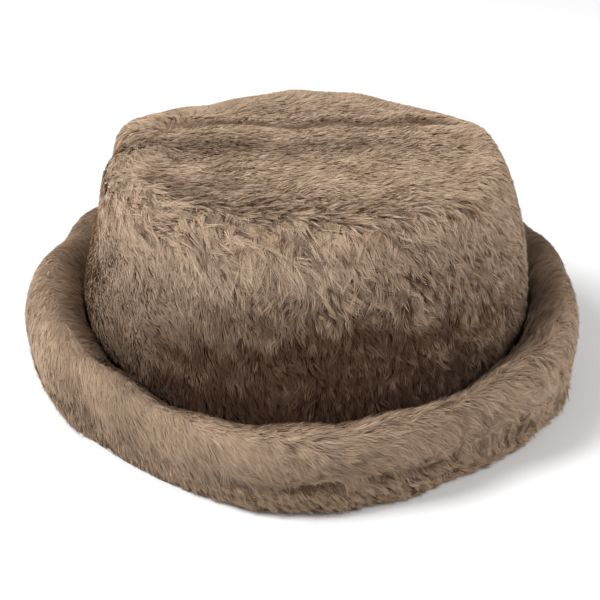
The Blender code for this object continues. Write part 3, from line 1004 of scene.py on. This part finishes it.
# On the right, and on the front, more of it higher up
def wallRough(points):
    turn = turnOf(points)
    high = mix(tufted["wallLow"], 1.0, rising(points[:, 2], *tufted["wallHigh"]))
    return hills(turn, tufted["wallRight"]) + hills(turn, tufted["wallFront"]) * high


# On the right, and under the edge seam
def rollRough(points):
    start, span, size = tufted["rollUnder"]
    under = size * falling(points[:, 2], start, span)
    return tufted["roll"] + hills(turnOf(points), tufted["rollRight"]) + under


# How much longer the pile is: short and upright in the tip's middle and low on the wall, pressed
# short near the fold, and long where it spills over the front
lengths = {
    "tipMiddle": 0.76,
    "tipEdge": (0.050, 0.028),
    "pressed": (0.002, 0.006, 0.45),  # how far before the fold, width, size
    "spillTurn": ((265, 40, 0.90), (210, 26, 0.54)),
    "spillRing": (0.066, 0.016),
    "wallLow": 0.68,
    "wallHigh": (0.075, 0.015),
    "wallFront": ((270, 46, 0.25),),
    "rollUnder": (0.016, 0.006, 0.25),  # ramp and size
}


# Growing to full length at the edge, less what is pressed, plus the spill
def tipLonger(points):
    radius = radiusOf(points)
    middle = mix(lengths["tipMiddle"], 1.0, rising(radius, *lengths["tipEdge"]))
    ahead, width, size = lengths["pressed"]
    pressed = size * hill(backOf(points), hat["foldBack"] - ahead, width)
    spill = hills(turnOf(points), lengths["spillTurn"]) * rising(radius, *lengths["spillRing"])
    return middle * (1 - pressed) * (1 + spill)


# Short low down and full length high up, and longer on the front
def wallLonger(points):
    high = rising(points[:, 2], *lengths["wallHigh"])
    return mix(lengths["wallLow"], 1.0, high) + hills(turnOf(points), lengths["wallFront"]) * high


# Shorter under the edge seam
def rollLonger(points):
    start, span, size = lengths["rollUnder"]
    return 1 - size * falling(points[:, 2], start, span)


combedAtFold = {"ahead": 0.002, "width": 0.010, "size": 0.75}


# How much of the random swing is left: little beside the fold, where the pile is combed along it
def tipStray(points):
    middle = hat["foldBack"] - combedAtFold["ahead"]
    return 1 - combedAtFold["size"] * hill(backOf(points), middle, combedAtFold["width"])


# All of it on the wall and the roll
def fullStray(points):
    return np.ones(len(points))


# Each surface's pile: lengths in metres, swings in radians, and the functions that place it
ringSteps = (0.4, 0.004)
looks = {
    "tip": {
        "length": 0.0076, "depth": 0.0014, "lift": 0.0003, "liftSpread": 0.0003,
        "swing": 0.26, "wander": 0.40, "steps": flatSteps, "lay": tipLay, "deep": tipPaintedShade,
        "paintedHighlight": tipPaintedHighlight, "rough": tipRough, "longer": tipLonger, "stray": tipStray},
    "wall": {
        "length": 0.0085, "depth": 0.0023, "lift": 0.0003, "liftSpread": 0.0004,
        "swing": 0.30, "wander": 0.50, "steps": ringSteps, "lay": wallLay, "deep": wallPaintedShade,
        "paintedHighlight": shoulderPaintedHighlight, "rough": wallRough, "longer": wallLonger, "stray": fullStray},
    "roll": {
        "length": 0.0095, "depth": 0.0023, "lift": 0.0003, "liftSpread": 0.0004,
        "swing": 0.22, "wander": 0.40, "steps": ringSteps, "lay": rollLay, "deep": rollPaintedShade,
        "paintedHighlight": rollPaintedHighlight, "rough": rollRough, "longer": rollLonger, "stray": fullStray},
}
clumpCounts = {"tip": 10900, "wall": 8000, "brim": 9800, "under": 5600}
seeds = {"tip": 20, "wall": (40, 50), "brim": (60, 70), "under": 90}
halves = {"Front": (180.0, 360.0), "Back": (0.0, 180.0)}
underLast = 0.9  # share of the under ply that has pile


# The pile in six pieces: the tip, each half of the wall and of the brim, and the under ply
def makeFur():
    tipFur, wallFur, brimFur, underFur = (
        furMaterial(piece + "FurLook", shares[piece]) for piece in ("tip", "wall", "brim", "under"))
    places = tipPlaces(clumpCounts["tip"])
    growFur("tipFur", tipSurface, places, looks["tip"], tipFur, seeds["tip"])
    for k, (half, turn) in enumerate(halves.items()):
        places = ringPlaces(wallSurface, turn, clumpCounts["wall"])
        growFur("wallFur" + half, wallSurface, places, looks["wall"], wallFur, seeds["wall"][k])
        places = ringPlaces(brimSurface, turn, clumpCounts["brim"])
        growFur("brimFur" + half, brimSurface, places, looks["roll"], brimFur, seeds["brim"][k])
    places = ringPlaces(underSurface, (0.0, 360.0), clumpCounts["under"], underLast)
    growFur("underFur", underSurface, places, looks["roll"], underFur, seeds["under"])


studio = {
    "floorSize": 30.0,
    "floorColour": (0.90, 0.90, 0.90, 1),
    "floorRoughness": 1.0,
    "worldStrength": 0.35,
    "key": {"place": (-1.35, -0.15, 1.60), "size": 0.9, "power": 48.0},
    "fill": {"place": (1.3, -0.6, 1.2), "size": 1.0, "power": 16.0},
    "aim": (0.0, 0.0, 0.05),
}


# A pale floor, even light from all round, and two soft lamps
def makeStudio():
    size = studio["floorSize"] / 2
    corners = [(-size, -size, 0), (size, -size, 0), (size, size, 0), (-size, size, 0)]
    mesh = bpy.data.meshes.new("floor")
    mesh.from_pydata(corners, [], [(0, 1, 2, 3)])
    floor = bpy.data.objects.new("floor", mesh)
    bpy.context.scene.collection.objects.link(floor)
    material = bpy.data.materials.new("paleFloor")
    material.use_nodes = True
    shader = material.node_tree.nodes["Principled BSDF"]
    shader.inputs["Base Color"].default_value = studio["floorColour"]
    shader.inputs["Roughness"].default_value = studio["floorRoughness"]
    mesh.materials.append(material)
    world = bpy.data.worlds.new("studio")
    world.use_nodes = True
    background = world.node_tree.nodes["Background"]
    background.inputs["Color"].default_value = (1, 1, 1, 1)
    background.inputs["Strength"].default_value = studio["worldStrength"]
    bpy.context.scene.world = world
    for name in ("key", "fill"):
        light = bpy.data.lights.new(name, "AREA")
        light.size = studio[name]["size"]
        light.energy = studio[name]["power"]
        lamp = bpy.data.objects.new(name, light)
        lamp.location = studio[name]["place"]
        aim = Vector(studio["aim"]) - Vector(studio[name]["place"])
        lamp.rotation_euler = aim.to_track_quat("-Z", "Y").to_euler()
        bpy.context.scene.collection.objects.link(lamp)


view = {"place": (-0.00005, -0.52192, 0.3232), "down": 29.5, "sensor": 36.0, "lens": 72.24, "clip": 0.01}


# A camera that looks down on the front of the hat
def makeCamera():
    camera = bpy.data.cameras.new("camera")
    camera.sensor_width = view["sensor"]
    camera.lens = view["lens"]
    camera.clip_start = view["clip"]
    holder = bpy.data.objects.new("camera", camera)
    holder.location = view["place"]
    holder.rotation_euler = (math.radians(90 - view["down"]), 0, 0)
    bpy.context.scene.collection.objects.link(holder)
    bpy.context.scene.camera = holder


makeCamera()
makeStudio()
bpy.context.scene.view_settings.view_transform = "Standard"
makeHides([hideMaterial(), knitMaterial()])
print("cloth under the pile is made")
makeFur()
print("fur is made")
